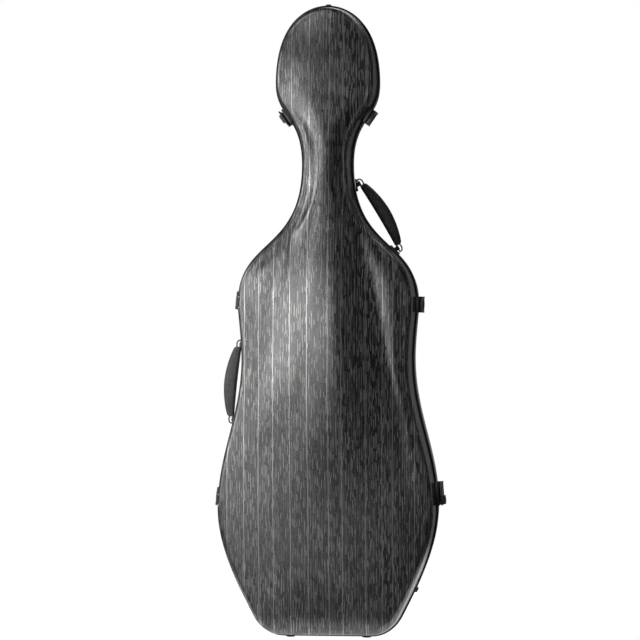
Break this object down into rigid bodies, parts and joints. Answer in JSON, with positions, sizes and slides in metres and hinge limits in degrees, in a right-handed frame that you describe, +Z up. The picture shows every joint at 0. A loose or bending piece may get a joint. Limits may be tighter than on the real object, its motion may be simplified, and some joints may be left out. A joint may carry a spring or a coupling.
{
  "type": "cello hard case",
  "caption": "Hard shell case shaped to a cello, with a hinged lid, draw latches, a lock, side handles, feet and a padded, lined interior.",
  "frame": {"origin": "middle of the case's footprint, on the plane that its feet stand on", "axes": "+Z up along the case, -Y towards the lid and the viewer, hinges at -X, latches at +X"},
  "size_m": [0.4926, 0.2868, 1.3465],
  "materials": {
    "laminate": "satin",
    "rim": "satin",
    "black_metal": "satin",
    "steel": "satin",
    "rubber": "matte",
    "leather": "satin",
    "plush": "matte",
    "webbing": "matte",
    "black_plastic": "satin"
  },
  "bodies": {
    "body": {"body_shell": "laminate", "body_rim": "rim", "body_lining": "plush", "rim_seal": "rubber", "lower_hinge_body_leaf": "black_metal", "lower_hinge_pin": "steel", "upper_hinge_body_leaf": "black_metal", "upper_hinge_pin": "steel", "head_right_latch_base": "black_metal", "head_left_latch_base": "black_metal", "upper_latch_base": "black_metal", "lock_latch_base": "black_metal", "waist_handle_mount_top": "black_metal", "waist_handle_mount_bottom": "black_metal", "neck_handle_mount_top": "black_metal", "neck_handle_mount_bottom": "black_metal", "front_left_foot": "rubber", "front_right_foot": "rubber", "rear_left_foot": "rubber", "rear_right_foot": "rubber", "crown_bumper": "rubber", "side_bumper_left": "rubber", "side_bumper_right": "rubber", "shoulder_pad_left": "plush", "shoulder_pad_right": "plush", "lower_pad_left": "plush", "lower_pad_right": "plush", "tail_block": "plush", "scroll_pad": "plush", "neck_cradle": "plush", "neck_strap": "webbing"},
    "lid": {"lid_shell": "laminate", "lid_rim": "rim", "lid_lining": "plush", "lower_hinge_lid_leaf": "black_metal", "upper_hinge_lid_leaf": "black_metal", "head_right_latch_keeper": "black_metal", "head_left_latch_keeper": "black_metal", "upper_latch_keeper": "black_metal", "lock_latch_keeper": "black_metal", "lid_neck_pad": "plush", "bow_holder_left": "black_plastic", "bow_holder_right": "black_plastic", "bow_tip_pocket_left": "plush", "bow_tip_pocket_right": "plush"},
    "head_right_latch_lever": {"head_right_latch_lever": "black_metal"},
    "head_left_latch_lever": {"head_left_latch_lever": "black_metal"},
    "upper_latch_lever": {"upper_latch_lever": "black_metal"},
    "lock_latch_lever": {"lock_latch_lever": "black_metal"},
    "lock_cylinder": {"lock_cylinder": "steel"},
    "waist_handle": {"waist_handle_grip": "leather", "waist_handle_ring_top": "black_metal", "waist_handle_ring_bottom": "black_metal"},
    "neck_handle": {"neck_handle_grip": "leather", "neck_handle_ring_top": "black_metal", "neck_handle_ring_bottom": "black_metal"},
    "bow_clip_left": {"bow_clip_left": "black_plastic"},
    "bow_clip_right": {"bow_clip_right": "black_plastic"}
  },
  "joints": [
    {"name": "lid_open", "type": "hinge", "parent": "body", "child": "lid", "pos_m": [-0.20039, -0.01846, 0.71684], "axis": [-0.1012, 0, -0.9949], "range_deg": [0, 110]},
    {"name": "head_right_latch_flip", "type": "hinge", "parent": "body", "child": "head_right_latch_lever", "pos_m": [0.08791, 0.00554, 1.10271], "axis": [0.5639, 0, 0.8258], "range_deg": [0, 125]},
    {"name": "head_left_latch_flip", "type": "hinge", "parent": "body", "child": "head_left_latch_lever", "pos_m": [-0.09809, 0.00554, 1.10271], "axis": [0.5639, 0, -0.8258], "range_deg": [0, 125]},
    {"name": "upper_latch_flip", "type": "hinge", "parent": "body", "child": "upper_latch_lever", "pos_m": [0.19537, 0.00554, 0.7073], "axis": [0.0241, 0, 0.9997], "range_deg": [0, 125]},
    {"name": "lock_latch_flip", "type": "hinge", "parent": "body", "child": "lock_latch_lever", "pos_m": [0.23712, 0.00554, 0.30816], "axis": [-0.078, 0, 0.997], "range_deg": [0, 125]},
    {"name": "lock_turn", "type": "hinge", "parent": "lock_latch_lever", "child": "lock_cylinder", "pos_m": [0.24611, -0.03146, 0.29583], "axis": [0.997, 0, 0.078], "range_deg": [0, 90]},
    {"name": "waist_handle_swing", "type": "hinge", "parent": "body", "child": "waist_handle", "pos_m": [-0.20564, 0.01954, 0.54225], "axis": [-0.1077, 0, -0.9942], "range_deg": [-80, 80]},
    {"name": "neck_handle_swing", "type": "hinge", "parent": "body", "child": "neck_handle", "pos_m": [0.09937, 0.01954, 0.89709], "axis": [-0.5135, 0, 0.8581], "range_deg": [-80, 80]},
    {"name": "bow_clip_left_turn", "type": "hinge", "parent": "lid", "child": "bow_clip_left", "pos_m": [-0.11709, -0.07046, 0.4245], "axis": [0, 1, 0], "range_deg": [0, 90]},
    {"name": "bow_clip_right_turn", "type": "hinge", "parent": "lid", "child": "bow_clip_right", "pos_m": [0.10691, -0.07046, 0.4245], "axis": [0, 1, 0], "range_deg": [0, 90]}
  ]
}
